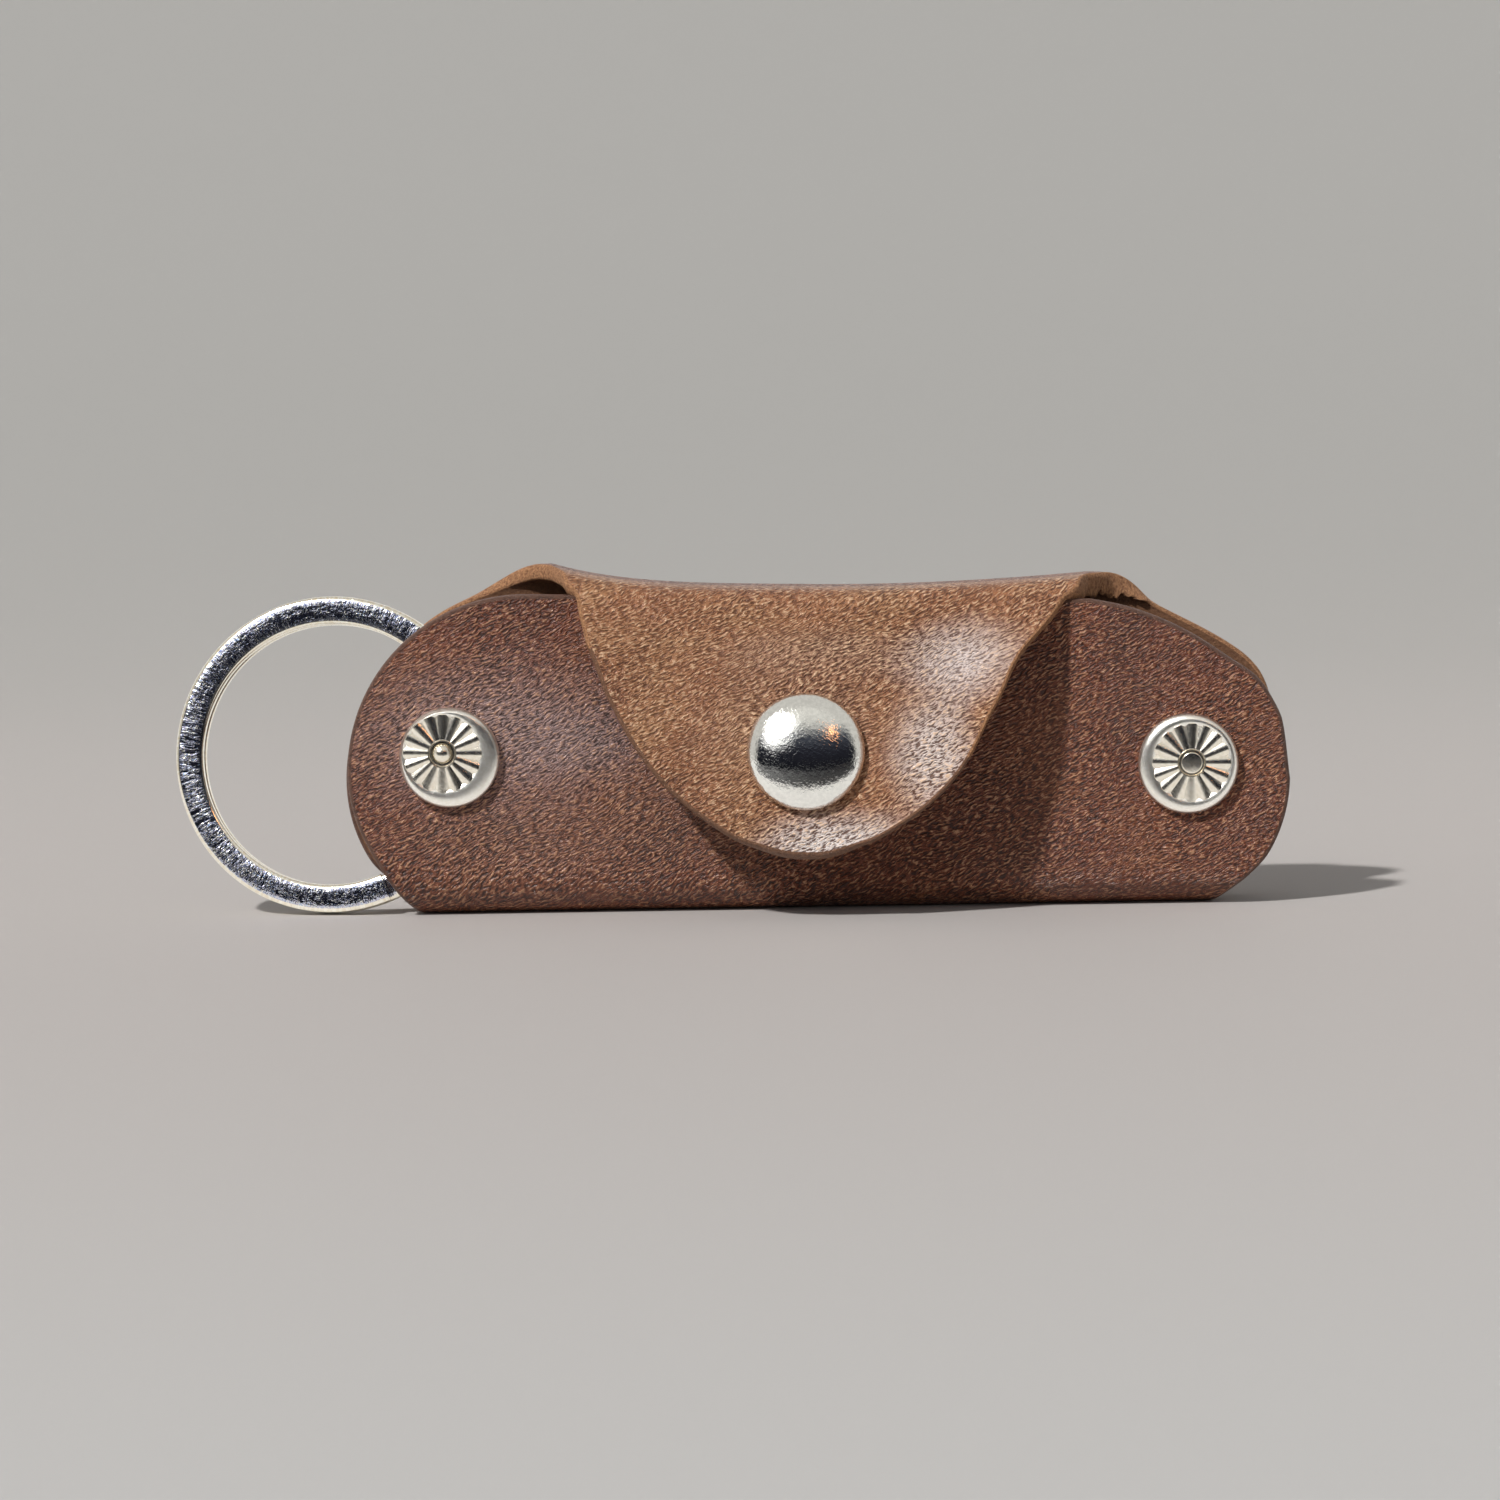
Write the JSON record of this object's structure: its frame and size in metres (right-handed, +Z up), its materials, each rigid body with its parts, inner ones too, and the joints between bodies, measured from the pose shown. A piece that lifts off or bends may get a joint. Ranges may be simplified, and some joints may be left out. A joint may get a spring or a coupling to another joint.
{
  "type": "key case",
  "caption": "Folded leather key case with a snap-down flap, fluted rivets through both walls and a split ring hanging on one rivet.",
  "frame": {"origin": "middle of the flat strip under the bottom fold, on the surface that the case stands on", "axes": "+X along the case to the right, away from the ring; -Y out of the front wall, towards the flap and press stud; +Z up"},
  "size_m": [0.1193, 0.0213, 0.0361],
  "materials": {
    "leather": "waxed full-grain, dark brown, raw cut edges",
    "flap_leather": "waxed full-grain, lighter where it is bent",
    "cap_nickel": "polished nickel with fine scratches",
    "snap_brass": "nickel-plated brass",
    "spring_wire": "drawn wire",
    "rivet_nickel": "satin nickel silver",
    "ring_steel": "nickel-plated steel with rub marks"
  },
  "bodies": {
    "case": {"leather_wrap": "leather", "snap_stud": "snap_brass", "snap_post": "snap_brass", "left_rivet_head": "rivet_nickel", "left_rivet_pin": "rivet_nickel", "left_rivet_cap": "rivet_nickel", "right_rivet_head": "rivet_nickel", "right_rivet_pin": "rivet_nickel", "right_rivet_cap": "rivet_nickel"},
    "flap": {"leather_flap": "flap_leather", "snap_cap": "cap_nickel", "snap_socket": "snap_brass", "snap_spring": "spring_wire"},
    "ring": {"split_ring": "ring_steel"}
  },
  "joints": [
    {"name": "flap_fold", "type": "hinge", "parent": "case", "child": "flap", "pos_m": [0.00086, -0.0006, 0.03539], "axis": [-0.9997, 0, 0.0244], "range_deg": [0, 150]},
    {"name": "ring_swing", "type": "hinge", "parent": "case", "child": "ring", "pos_m": [-0.03968, -0.0003, 0.01787], "axis": [0.1202, 0.9789, -0.1651], "range_deg": [-3, 55]}
  ]
}
